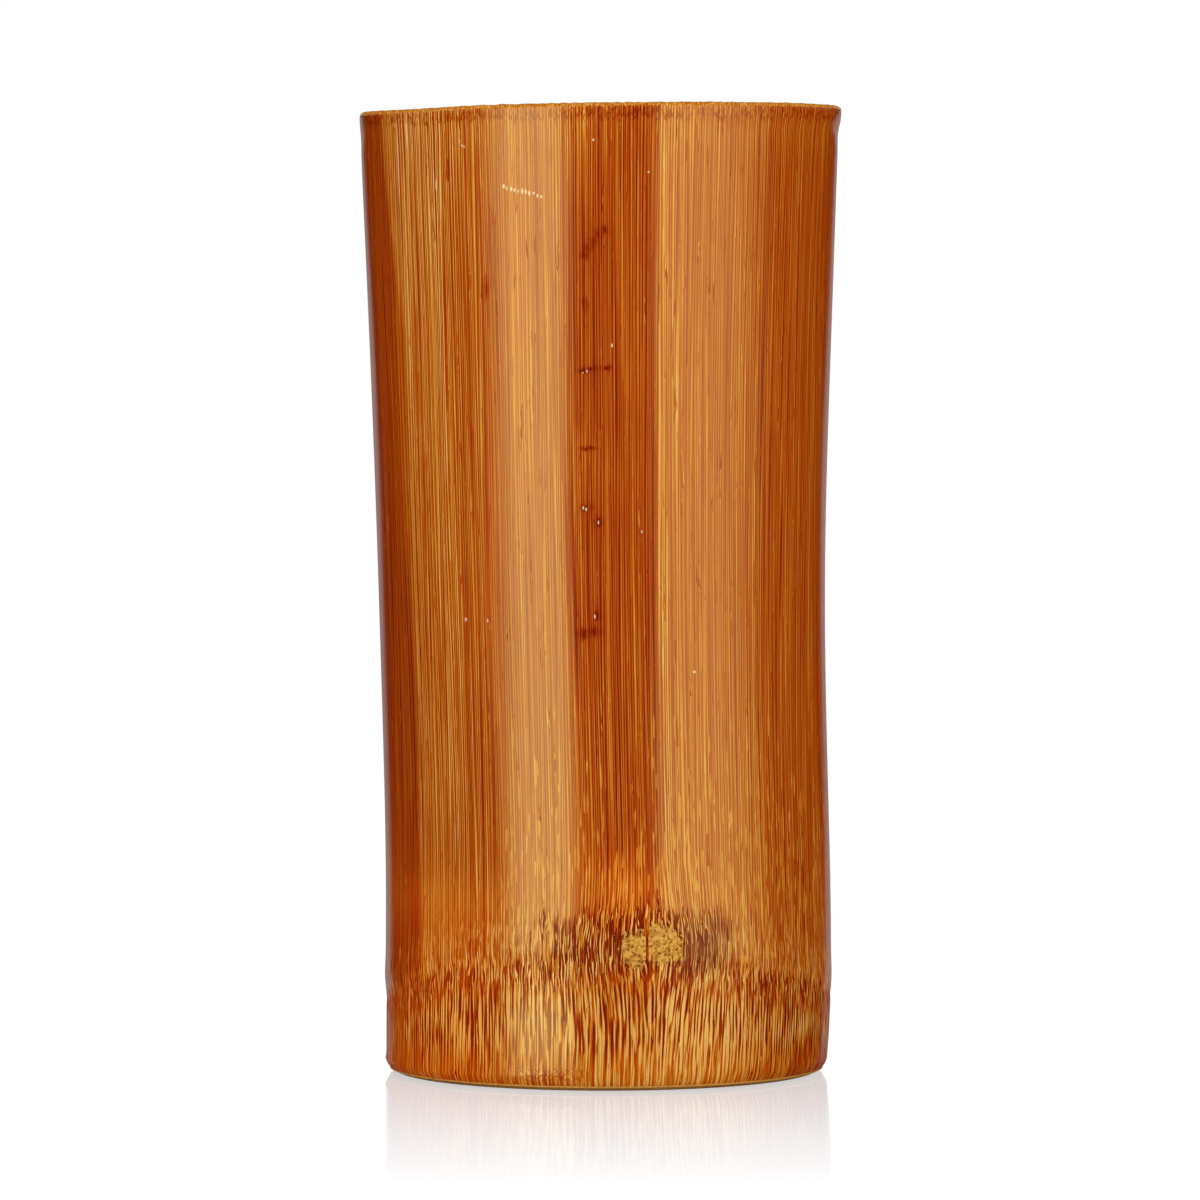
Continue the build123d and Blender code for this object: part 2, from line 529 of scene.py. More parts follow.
# Sanded end grain from its dark specks to its pale ground
END_GRAIN_TONES = [
    (0.00, (0.15, 0.035, 0.008)),
    (0.30, (0.33, 0.120, 0.020)),
    (0.60, (0.52, 0.228, 0.032)),
    (1.00, (0.77, 0.425, 0.085)),
]
# Bare bamboo inside and on the sawn rim, from its brown bundles to pale straw
STRAW_TONES = [
    (0.00, (0.20, 0.070, 0.018)),
    (0.35, (0.44, 0.210, 0.060)),
    (0.70, (0.67, 0.410, 0.140)),
    (1.00, (0.83, 0.620, 0.280)),
]
RUDDY = (1.16, 0.98, 0.72)  # a tint where the stain is redder
BRUISE = (0.19, 0.030, 0.012, 1)
WORN_SPECK = (0.86, 0.70, 0.42, 1)

# Marks on the skin: angle in degrees, height, half-width and half-height in millimetres
PALE_SPECKS = [
    (-1.4, 143.9, 0.2, 0.25), (11.6, 139.1, 0.2, 0.2), (2.9, 113.0, 0.18, 0.4),
    (-4.4, 88.5, 0.18, 0.35), (-3.7, 88.3, 0.2, 0.35), (-0.7, 86.3, 0.15, 0.4),
    (-30.2, 71.3, 0.2, 0.35), (-36.7, 71.4, 0.25, 0.4), (-1.9, 72.1, 0.18, 0.45),
    (10.1, 84.9, 0.15, 0.3), (23.5, 63.6, 0.3, 0.25), (-34.9, 143.9, 0.12, 0.5),
    (-34.2, 143.2, 0.3, 0.15), (-33.6, 143.0, 0.15, 0.3), (-43.2, 138.5, 0.12, 1.6),
    (-42.4, 137.3, 0.18, 1.2), (-56.5, 142.0, 0.16, 9.0), (-52.5, 145.5, 0.12, 3.0),
    (-3.2, 109.1, 0.15, 0.3), (-4.2, 108.9, 0.12, 0.2),
]
# Pale lines on the skin; the one at 15.2 degrees is a painted highlight along the sharp edge of the right
# softbox's reflection
PALE_LINES_AND_EDGE_GLINT = [
    (-41.2, 80.0, 0.22, 95.0), (15.2, 100.0, 0.14, 75.0), (41.6, 90.0, 0.25, 80.0),
    (-53.5, 130.0, 0.25, 30.0),
]
DARK_PITS = [
    (9.7, 22.4, 0.35, 3.2), (-55.4, 3.5, 0.25, 2.4), (-42.0, 2.0, 0.3, 0.6), (40.0, 2.1, 0.3, 0.3),
    (46.0, 0.2, 0.9, 0.5), (1.2, 130.4, 0.35, 0.7), (-4.0, 109.2, 0.5, 0.4), (-2.4, 109.5, 0.4, 0.4),
    (1.4, 109.6, 0.4, 0.4), (-0.6, 86.3, 0.4, 0.9), (-1.4, 72.2, 0.35, 0.9), (-4.6, 69.4, 0.4, 0.9),
    (-2.2, 69.8, 0.35, 0.9), (-3.6, 97.3, 0.3, 0.4), (-2.4, 97.6, 0.35, 0.4), (-3.9, 88.4, 0.5, 0.6),
]
SCRATCH_START, SCRATCH_END, SCRATCH_DASHES = (-23.2, 136.9), (-13.9, 135.4), 11
SMUDGES = [
    (1.2, 130.6, 0.8, 1.3), (0.0, 129.6, 1.0, 1.2), (-1.2, 128.7, 1.1, 1.2), (-2.4, 127.7, 1.2, 1.2),
    (-3.6, 126.6, 1.2, 1.3), (-3.6, 119.2, 0.9, 1.9), (-3.6, 109.2, 1.8, 0.8), (-0.6, 109.6, 1.6, 0.7),
    (1.8, 109.7, 1.2, 0.8), (-3.0, 97.5, 1.8, 0.8), (-0.9, 86.5, 1.0, 1.6), (-3.6, 88.6, 1.3, 1.3),
    (-1.4, 72.4, 1.1, 1.5), (-5.0, 69.5, 1.4, 1.6), (-2.2, 69.8, 1.6, 1.5), (-28.5, 121.5, 1.0, 2.6),
]
# Darker clouds in the stain: angle in degrees, height and reach in millimetres
CLOUDS = [(-1, 129, 3), (-1, 109, 2.5), (0, 87, 4), (-2, 71, 3.5), (3, 100, 5)]


def scratch_dashes():
    """The uneven dashes of one scratch across the fibres."""
    draws = np.random.default_rng(91)
    jitter = draws.normal(0, 0.12, (SCRATCH_DASHES, 2))
    places = np.linspace(SCRATCH_START, SCRATCH_END, SCRATCH_DASHES) + jitter
    sizes = draws.uniform((0.12, 0.2), (0.28, 0.6), (SCRATCH_DASHES, 2))
    return [(*place, *size) for place, size in zip(places, sizes)]


def ring_ticks(s, grain):
    """Short pale ticks in the dark ring round the branch scars, from 0 to 1."""
    stray = s.times(s.fibres(grain, 0.6, 3.0, start=41), 3.0)
    strand = s.ripple(s.angle_of(grain), 0.44, stray)
    narrow = s.cells(grain, 0.20, 2.4, start=45)
    broken = s.cells(grain, 0.32, 2.0, start=40)
    return s.ease(s.add(s.times(strand, 0.6), s.times(narrow, 0.45), s.times(broken, 0.35)), -0.14, 0.74)


def ring_tone(s, ticks):
    return s.scaled(ticks, 1.20, -0.15)


def lacquered_skin_material():
    """Stained rind under satin lacquer: long fine fibres, torn into pale strands below the node."""
    s = Shader("lacquered_skin")
    grain = s.field("grain", "Vector")
    grit = s.chance(s.vector("MULTIPLY", grain, (4500, 4500, 3000)), 1.0)
    angle = s.angle_of(grain)
    fine = s.ripple(angle, 0.40, s.times(s.fibres(grain, 0.6, 60), 3.5))
    second = s.ripple(angle, 0.58, s.times(s.fibres(grain, 0.8, 40, start=13), 3.5))
    hairs = s.cells(grain, 0.19, 24)
    threads = s.cells(grain, 0.38, 70, start=10)
    breaks = s.cells(grain, 0.21, 5, start=20)
    strands = s.fibres(grain, 0.30, 30)
    bands = s.fibres(grain, 0.9, 90, detail=1)
    streaks = s.add(s.times(fine, 0.27), s.times(second, 0.02), s.times(hairs, 0.12),
                    s.times(threads, 0.02), s.times(breaks, 0.05), s.times(bands, 0.015))
    # The tone field is the stain, with a painted highlight from 14.5 to about 42 degrees
    tone = s.add(s.field("tone"), s.times(streaks, s.field("contrast")))

    # The fringe over the node line, and the torn strands under it
    slow_stray = s.times(s.fibres(grain, 1.2, 14, start=31), 1.8)
    quick_stray = s.times(s.fibres(grain, 0.45, 6, start=33), 1.4)
    stray = s.add(slow_stray, quick_stray)
    strand = s.mix_value(s.field("coarse"), s.ripple(angle, 0.62, stray), s.ripple(angle, 0.95, stray))
    wide = s.fibres(grain, 0.42, 4.5, start=7)
    narrow = s.cells(grain, 0.24, 4, start=3)
    torn = s.add(s.times(strand, 0.65), s.times(wide, 0.5), s.times(narrow, 0.4))
    torn = s.ease(torn, -0.6, 0.5, -1.0, 1.0)
    ticks = ring_ticks(s, grain)
    torn = s.mix_value(s.field("short"), torn, s.scaled(ticks, 2.0, -0.7))
    ragged = s.add(s.field("above_line"), s.times(s.cells(grain, 0.3, 30, start=5), 0.9))
    under = s.ease(ragged, 0.4, -0.4)
    fringe = s.times(s.ease(s.add(ragged, s.times(strands, 1.5)), 7.5, 4.0), s.field("fringe"))
    tone = s.add(tone, s.times(fringe, s.scaled(torn, 0.24, 0.09)))
    torn_part = s.times(torn, s.field("torn_contrast"))
    tone = s.mix_value(under, tone, s.add(s.field("torn_tone"), torn_part, s.times(streaks, 0.5)))
    at_line = s.ease(s.math("ABSOLUTE", ragged), 0.9, 0.2)
    tip = s.times(at_line, s.ease(narrow, -0.3, 0.4), s.field("fringe"))
    tone = s.mix_value(s.times(tip, 0.6), tone, 0.92)

    # The dark ring round the scars, and pale dashes
    ring = s.ease(s.add(s.field("ring"), s.times(breaks, 0.2), s.times(narrow, 0.3)), 0.25, 0.65)
    tone = s.mix_value(s.times(ring, 0.92), tone, ring_tone(s, ticks))
    dash = s.ease(s.add(s.cells(grain, 0.22, 2.8, start=11), s.field("dashes")), 0.55, 0.7)
    tone = s.mix_value(s.times(dash, 0.75), tone, 0.93)

    # Smudges in the stain, a mottled darker band just under the rim and a scuff at the foot
    stirred = s.noise(s.vector("MULTIPLY", grain, (900, 900, 900)), 2.0, "Color")
    stirred = s.vector("MULTIPLY_ADD", stirred, (1.6 * MM, 1.6 * MM, 1.2 * MM), grain)
    stirred = s.vector("SUBTRACT", stirred, (0.8 * MM, 0.8 * MM, 0.6 * MM))
    smudge = s.most(*[s.mark(stirred, *place, softness=0.1) for place in SMUDGES])
    pit = s.most(*[s.mark(grain, *place) for place in DARK_PITS])
    # Pale lines, and a painted highlight line along the edge of the right softbox's reflection
    line = s.most(*[s.mark(grain, *place, softness=0.1) for place in PALE_LINES_AND_EDGE_GLINT])
    rim_band_mottle = s.times(s.cells(grain, 0.22, 0.7, start=9), 0.6)
    rim_band = s.ease(s.add(s.field("rim_band"), rim_band_mottle), 0.7, 1.4)
    flakes = s.scaled(s.cells(grain, 0.3, 0.35, start=70), 0.3, -0.16)
    smudge_part = s.times(smudge, s.scaled(hairs, -0.22, -0.24))
    pale_line_and_glint_part = s.times(line, s.ease(breaks, -0.6, 0.6), 0.2)
    scuff_part = s.times(s.field("scuff"), flakes)
    tone = s.add(tone, smudge_part, s.times(pit, -0.45), s.times(rim_band, -0.3), pale_line_and_glint_part, scuff_part)
    colour = s.ramp(tone, BAMBOO_TONES)
    colour = s.mix(s.field("ruddy"), colour, s.vector("MULTIPLY", colour, RUDDY))

    # Bruised and worn places
    colour = s.mix(s.times(s.field("bruise"), s.scaled(ticks, -0.8, 1.0)), colour, BRUISE)
    worn = s.ease(s.add(s.field("worn"), s.times(grit, 0.35)), 0.35, 0.65)
    colour = s.mix(worn, colour, s.ramp(s.scaled(grit, 0.25, 0.78), BAMBOO_TONES))
    specks = s.most(*[s.mark(grain, *place) for place in scratch_dashes() + PALE_SPECKS])
    colour = s.mix(s.times(specks, 0.8), colour, WORN_SPECK)

    open_gaps = s.times(under, s.ease(torn, 0.6, -0.3), s.scaled(s.field("smooth"), -1.0, 1.0))
    bare = s.most(open_gaps, s.times(ring, 0.85), worn, smudge)
    coat = s.scaled(bare, -0.95, 1.0)
    s.set(Base_Color=colour, Roughness=0.6, Specular_IOR_Level=0.0)
    s.set(Coat_Weight=coat, Coat_Roughness=0.15, Coat_IOR=1.62)
    s.bump(s.add(s.times(fine, 0.2), s.times(torn, under)), 0.004 * MM)
    return s.material


def bundles(s, grain, spacing, size):
    """1 in the cut ends of bundles of fibre, which stand that far apart. size is a share of the spacing."""
    place = s.vector("MULTIPLY", grain, (1 / spacing, 1 / spacing, 0))
    return s.ease(s.voronoi(place, "3D")["Distance"], size, 0.6 * size)


def culm_wall_material():
    """Bare bamboo: end grain dotted with bundles, crowded at the skin, and plain fibre elsewhere."""
    s = Shader("culm_wall")
    grain = s.field("grain", "Vector")
    ground = s.chance(s.vector("MULTIPLY", grain, (2500, 2500, 2500)), 2.0)
    crowded = bundles(s, grain, 0.6 * MM, 0.42)
    sparse = bundles(s, grain, 1.2 * MM, 0.32)
    dots = s.times(s.mix_value(s.ease(s.field("depth"), 0.2, 0.6), crowded, sparse), s.field("cut"))
    dots = s.times(dots, s.scaled(s.field("stained"), -0.8, 1.0))
    tone = s.add(0.74, s.times(ground, 0.10), s.times(s.fibres(grain, 0.4, 20), 0.08), s.times(dots, -0.45),
                 s.times(s.field("stained"), -0.12))
    colour = s.mix(s.field("stained"), s.ramp(tone, STRAW_TONES), s.ramp(tone, END_GRAIN_TONES))
    s.set(Base_Color=colour, Roughness=0.5)
    s.bump(s.add(ground, s.times(dots, -1.5)), 0.02 * MM)
    return s.material


def pith_lining_material():
    """The inside wall: pale, with fine long lines."""
    s = Shader("pith_lining")
    grain = s.field("grain", "Vector")
    lines = s.add(s.times(s.fibres(grain, 0.35, 45), 0.09), s.times(s.fibres(grain, 1.5, 90), 0.07))
    blotches = s.times(s.chance(s.vector("MULTIPLY", grain, (120, 120, 60)), 3.0), 0.07)
    tone = s.add(0.86, lines, blotches)
    s.set(Base_Color=s.ramp(tone, STRAW_TONES), Roughness=0.42)
    s.bump(s.fibres(grain, 0.35, 45), 0.02 * MM)
    return s.material


def node_septum_material():
    """The floor: woody, with fibres that cross in every direction."""
    s = Shader("node_septum")
    grain = s.field("grain", "Vector")
    felted = s.chance(s.vector("MULTIPLY", grain, (900, 900, 900)), 4.0)
    blotches = s.chance(s.vector("MULTIPLY", grain, (160, 160, 160)), 2.0)
    rays = s.chance(s.field("rays", "Vector"), 1.0)
    tone = s.add(0.62, s.times(felted, 0.10), s.times(blotches, 0.10), s.times(rays, 0.09))
    s.set(Base_Color=s.ramp(tone, STRAW_TONES), Roughness=0.55)
    s.bump(s.add(felted, rays), 0.08 * MM)
    return s.material


def branch_scar_material():
    """The sanded ends of the branches: granular ochre that breaks up into the dark ring at the edge."""
    s = Shader("branch_scar")
    grain = s.field("grain", "Vector")
    grit = s.add(s.times(s.cells(grain, 0.6, 0.7, start=60), 0.3), s.cells(grain, 0.3, 0.36, start=65))
    specks = s.ease(s.cells(grain, 0.27, 0.36, start=68), 0.6, 0.8)
    ochre = s.ramp(s.add(0.74, s.times(grit, 0.30), s.times(specks, -0.45)), END_GRAIN_TONES)
    ring = s.ramp(ring_tone(s, ring_ticks(s, grain)), BAMBOO_TONES)
    notches = s.times(s.cells(grain, 0.26, 1.3, start=23), 0.20)
    waves = s.times(s.fibres(grain, 0.7, 1.5, start=24), 0.12)
    ragged = s.add(s.field("edge"), s.add(notches, waves))
    colour = s.mix(s.ease(ragged, 0.74, 0.86), ochre, ring)
    s.set(Base_Color=colour, Roughness=0.6, Specular_IOR_Level=0.0)
    s.bump(s.times(specks, -1.0), 0.02 * MM)
    return s.material


# The pieces

# The stain, with a painted highlight over it where the right softbox's reflection falls, and the torn
# strands round the cup: degrees from the front, then tone or contrast
STAIN_AND_HIGHLIGHT_TONES = [
    (-180, 0.44), (-120, 0.43), (-90, 0.53), (-66, 0.55), (-45, 0.60), (-33, 0.55), (-20, 0.54),
    # From 14.5 to about 42 degrees the tone is raised, with a sharp step at 14.5 along the edge of the
    # right softbox's reflection: real stain with a painted highlight over it
    (-10, 0.51), (-7, 0.40), (13, 0.39), (14.5, 0.615), (36, 0.605), (42, 0.56), (43.5, 0.47),
    (66, 0.43), (75, 0.38), (120, 0.42), (180, 0.44),
]
TORN_TONES = [
    (-180, 0.45), (-75, 0.46), (-55, 0.50), (-35, 0.52), (0, 0.53), (35, 0.53), (55, 0.28), (75, 0.24),
    (180, 0.45),
]
TORN_CONTRASTS = [
    (-180, 0.35), (-75, 0.30), (-55, 0.52), (-35, 0.53), (0, 0.48), (35, 0.46), (55, 0.72), (75, 0.60),
    (180, 0.35),
]


def round_the_cup(degree, table):
    places, values = zip(*table)
    return np.interp(degree, places, values)


def stain_and_highlight_fields(angle, mm):
    """The stain's tone, partly painted highlight from 14.5 to about 42 degrees, how strongly the fibres
    show in it, and where it is redder.
    """
    degree = np.degrees(angle)
    at_sides = step(np.abs(degree), 58, 70) * step(np.abs(degree), 110, 90)
    tone = round_the_cup(degree, STAIN_AND_HIGHLIGHT_TONES) + 0.03 * wander(angle, mm * MM, 6 * MM, 300 * MM, 11)
    for middle, height, reach in CLOUDS:
        tone = tone - 0.07 * near(degree, middle, 1.6 * reach) * near(mm, height, reach)

    # The dark left side, the left side's gold, and lighter patches under the rim and above the node
    dark_side = np.interp(mm, [115, 142], [-57, -64])
    tone = tone - 0.25 * step(degree, dark_side + 1.5, dark_side - 1.5) * step(degree, -120, -95)
    tone = tone + near(degree, -45, 14) * np.interp(mm, [30, 140], [-0.05, 0.08])
    tone = tone + 0.16 * near(mm, 146, 9) * step(degree, -12, -8) * step(degree, -2.5, -3.5)
    tone = tone + 0.08 * near(degree, -8, 6, 3) * near(mm, 36, 8)
    tone = tone + 0.15 * near(degree, -50, 25) * near(mm, 28.5, 4.5)
    tone = tone + 0.30 * near(degree, 4, 8) * near(mm, 31, 4.5)
    tone = tone + 0.08 * at_sides * near(mm, 28, 12)
    tone = tone + 0.03 * near(degree, 25, 11, 4) * step(mm, 70, 45) + 0.06 * near(mm, 147, 4)

    # Fainter fibres under the highlights, and stronger ones in the gold
    contrast = 1.0 - 0.1 * at_sides - 0.2 * near(degree, -21, 11, 4) - 0.3 * near(degree, 28, 13, 4)
    contrast = contrast + 0.15 * near(degree, -45, 13, 4) * step(mm, 26, 40) + 0.08 * near(degree, 3, 10, 4)
    contrast = contrast * (1 + 0.15 * near(degree, 0, 38, 4) * step(mm, 75, 50))
    contrast = contrast + 0.3 * near(degree, -48, 11) * step(mm, 105, 135)
    contrast = contrast * (1 - 0.3 * near(degree, 4, 9) * near(mm, 31, 6))
    contrast = contrast * (1 - 0.3 * near(degree, -50, 20) * near(mm, 28, 5))
    contrast = contrast * (1 - 0.25 * near(degree, -8, 6, 3) * near(mm, 36, 8))
    ruddy = near(degree, -52, 24, 4) * step(mm, 36, 26) + near(degree, 4, 10) * near(mm, 31, 6)
    return {"tone": tone, "contrast": contrast, "ruddy": ruddy}


def torn_fields(angle, mm):
    """The strands torn by the leaf sheath below its line, and the fringe above."""
    degree = np.degrees(angle)
    # A smooth patch where the lacquer is whole, under the left softbox's reflection; its raised tone and
    # fainter strands are painted highlight
    smooth_patch_and_sheen = near(degree, -20, 11, 3) * near(mm, 8, 6, 3)
    paler_foot = 0.08 + 0.14 * near(degree, 15, 22, 4)
    tone = round_the_cup(degree, TORN_TONES) + paler_foot * step(mm, 8, 2.5) + 0.05 * smooth_patch_and_sheen
    tone = tone - 0.15 * near(degree, 49, 9, 3) * near(mm, 14, 5, 3)
    above_line = mm - node_line(angle) / MM
    tone = tone - 0.03 * near(above_line, -2.0, 2.5) * (1 - near(degree, -22, 11))
    tone = tone - 0.05 * near(degree, 4, 9) * near(mm, 15.5, 3.5)
    contrast = round_the_cup(degree, TORN_CONTRASTS) * (1 - 0.6 * step(mm, 9, 2.5))
    contrast = contrast * (1 - 0.2 * smooth_patch_and_sheen)
    return {
        "above_line": above_line,
        "fringe": 1 - 0.7 * near(degree, 8, 22, 4),
        "coarse": near(degree, -4, 14, 4) * step(mm, 13, 8),
        "torn_tone": tone,
        "torn_contrast": contrast,
        "smooth": smooth_patch_and_sheen,
        "short": 0.8 * step(above_line, -7, -2),
    }


def mark_fields(angle, mm, rim):
    """The dashes above the node, the ring round the scars, a darker band under the rim, and wear."""
    degree = np.degrees(angle)
    ragged = mm + 3 * wander(angle, mm * MM, 2.5 * MM, 20 * MM, 12)
    dashes = -1.0 + 0.72 * step(ragged, 82, 50) + 0.18 * step(ragged, 50, 28)
    dashes = dashes - 0.4 * step(degree, -25, -38) + 0.15 * near(degree, 24, 28) * near(mm, 24, 12)
    arch = 22.3 + 1.2 * near(degree, 9.7, 9)
    left_bruise = 0.3 * near(degree, -3, 8, 3) * near(mm, 21.3, 3.5)
    right_bruise = 0.85 * near(degree, 24, 8, 3) * near(mm, 21.8, 4.4, 3)
    below_rim = mm - rim / MM
    return {
        "dashes": dashes,
        "ring": near(degree, 6.5, 26, 4) * near(mm, arch, 4.8, 4),
        "bruise": left_bruise + right_bruise,
        # a mottled darker band about 1.7 mm under the rim
        "rim_band": near(below_rim, -1.7, 1.3),
        "scuff": near(degree, -15, 9, 4) * near(mm, 2.6, 0.9),
        "worn": np.maximum(step(below_rim, -0.8, -0.2), step(mm, 0.8, 0.2)),
    }


def lacquered_skin():
    """The stained and lacquered rind, with the bead of lacquer round the rim."""
    top = rim_height(ANGLES)
    lip = LIP_PROUD * (1 + 0.6 * np.sin(ANGLES)) * (0.25 + 0.75 * np.sin(ANGLES) ** 2)
    lip = lip * (1 + 0.08 * wander(ANGLES, LEVEL, 10 * MM, 1, 5))
    rows = Rows()
    rows.add(on_culm(ANGLES, top, -SKIN))
    rows.add(on_culm(ANGLES, top, lip - RIM_ROUNDING))
    rows.quarter(6, lambda out, down: on_culm(
        ANGLES, top - RIM_ROUNDING * down, lip - RIM_ROUNDING + RIM_ROUNDING * out))
    for share in steps(3):
        rows.add(on_culm(ANGLES, top - RIM_ROUNDING - share * (LIP_HEIGHT - RIM_ROUNDING), lip))
    for share in steps(5):
        rows.add(on_culm(ANGLES, top - LIP_HEIGHT - share * LIP_RUN_OUT, lip * (1 - step(share, 0, 1))))
    start = top - LIP_HEIGHT - LIP_RUN_OUT
    shaft = np.linspace(0, NODE_ROWS_START, SHAFT_ROWS + 1)[1:]
    node = np.linspace(NODE_ROWS_START, 1, NODE_ROWS + 1)[1:]
    for share in np.concatenate([shaft, node]):
        height = start + share * (FOOT_ROUNDING - start)
        rows.add(on_culm(ANGLES, height, unevenness(ANGLES, height)))
    for bend in np.linspace(0, FOOT_SKIN_SHARE * pi / 2, 6)[1:]:
        rows.add(on_foot(bend))
    rows.shown[-1] = False
    for share in np.linspace(0, 1, 5)[:-1]:
        rows.add(on_culm(ANGLES, SKIN_FOOT + share * (top - SKIN_FOOT), -SKIN), shown=False)
    height = np.array(rows.points)[..., 2]
    place = np.broadcast_to(ANGLES, height.shape), height / MM
    fields = {**stain_and_highlight_fields(*place), **torn_fields(*place), **mark_fields(*place, top)}
    fields["grain"] = grain_place(ANGLES, height)
    piece = rows.piece("lacquered_skin_shell", lacquered_skin_material(), fields)
    dress(piece, "lacquered_skin")


def culm_wall():
    """The woody wall, from the sawn rim to the foot, with the shoulders that carry the septum."""
    top = rim_height(ANGLES)
    rows = Rows()
    for share in np.linspace(0, 1, 12):
        height, inset = top + share * (SKIN_FOOT - top), SKIN * (1 - share) + FOOT_WALL_INSET * share
        rows.add(on_culm(ANGLES, height, -inset), shown=share == 1, cut=float(share in (0, 1)))
    for bend in np.linspace(FOOT_SKIN_SHARE, 1, 5)[1:] * pi / 2:
        rows.add(on_foot(bend), cut=1.0)

    def recess(inset, height):
        return round_points(ANGLES, RECESS_RADIUS - inset, SEPTUM_X, LEVEL + height)

    for bend in np.linspace(0, pi / 2, 4):
        outward, up = FOOT_INNER_ROUNDING * (1 - sin(bend)), FOOT_INNER_ROUNDING * (1 - cos(bend))
        rows.add(recess(-outward, up), cut=1.0)
    spring = SEPTUM_UNDERSIDE - RECESS_ROUNDING
    for share in steps(7):
        rows.add(recess(0, FOOT_INNER_ROUNDING + share * (spring - FOOT_INNER_ROUNDING)))
    rows.quarter(5, lambda up, inward: recess(RECESS_ROUNDING * inward, spring + RECESS_ROUNDING * up))
    rows.add(round_points(ANGLES, SEPTUM_RADIUS, SEPTUM_X, LEVEL + SEPTUM_UNDERSIDE), shown=False)
    rows.add(round_points(ANGLES, SEPTUM_RADIUS, SEPTUM_X, LEVEL + SEPTUM_EDGE))
    for bend in np.linspace(0, pi / 2, 8):
        inward, up = SHOULDER_ROUNDING * (1 - sin(bend)), SHOULDER_ROUNDING * (1 - cos(bend))
        rows.add(in_bore(ANGLES, LEVEL + SEPTUM_EDGE + up, -inward))
    rows.add(in_bore(ANGLES, LEVEL + LINING_FOOT, 0))
    rows.add(in_bore(ANGLES, LEVEL + LINING_FOOT, LINING), shown=False)
    for share in steps(5):
        height, at_rim = LINING_FOOT + share * (top - LINING_FOOT), share == 1
        rows.add(in_bore(ANGLES, height, LINING), shown=at_rim, cut=float(at_rim))
    points = np.array(rows.points)
    height = np.clip(points[..., 2], LOWEST_MEASURED, HIGHEST_MEASURED)
    from_middle = np.hypot(points[..., 0] - culm_middle(height), points[..., 1])
    depth = (culm_radius(height) - from_middle) / WALL
    fields = {"cut": rows.cut_field(), "depth": depth, "grain": points}
    fields["stained"] = step(depth, 0.5, 0.3) * step(points[..., 2], 4 * MM, 2 * MM)
    dress(rows.piece("culm_wall_body", culm_wall_material(), fields), "culm_wall")


def pith_lining():
    """The pith that lines the hollow."""
    top = rim_height(ANGLES)
    rows = Rows()
    for share in np.linspace(0, 1, 6):
        rows.add(in_bore(ANGLES, top + share * (LINING_FOOT - top), LINING), shown=False)
    for share in np.linspace(0, 1, 40):
        height = LINING_FOOT + share * (top - LINING - LINING_FOOT)
        rows.add(in_bore(ANGLES, height, 0.05 * MM * wander(ANGLES, height, 12 * MM, 40 * MM, 51)))
    rows.quarter(4, lambda up, outward: in_bore(ANGLES, top - LINING * (1 - up), LINING * outward * 0.95))
    fields = {"grain": np.array(rows.points)}
    dress(rows.piece("pith_lining_shell", pith_lining_material(), fields), "pith_lining")


def node_septum():
    """The woody web across the node, dished on top and bulging below."""
    around = np.linspace(0, TURN, WEB_COLUMNS, endpoint=False)
    shares = steps(19)

    def web(share, edge, seed):
        height = edge - SEPTUM_DISH * (1 - share ** 2)
        waves = wander(around, share * 30 * MM, 12 * MM, 6 * MM, seed)
        rough = 0.12 * MM * waves * share * (1 - share ** 8)
        return round_points(around, SEPTUM_RADIUS * share, SEPTUM_X, height + rough)

    top = np.array([web(share, SEPTUM_EDGE, 61) for share in shares])
    under = np.array([web(share, SEPTUM_UNDERSIDE, 62) for share in shares[::-1]])
    top_middle = [SEPTUM_X, 0, SEPTUM_EDGE - SEPTUM_DISH]
    under_middle = [SEPTUM_X, 0, SEPTUM_UNDERSIDE - SEPTUM_DISH]
    spread = np.concatenate([shares, shares[::-1]])[:, None]
    rays = np.stack(np.broadcast_arrays(9 * np.sin(around), 9 * np.cos(around), 3 * spread), axis=-1)
    places = np.concatenate([np.concatenate([top, under]).reshape(-1, 3), [top_middle, under_middle]])
    fields = {"grain": places, "rays": np.concatenate([rays.reshape(-1, 3), [[0, 0, 0], [0, 0, 0]]])}
    material = node_septum_material()
    piece = lens_piece("node_septum_web", top, under, top_middle, under_middle, material, fields)
    dress(piece, "node_septum")


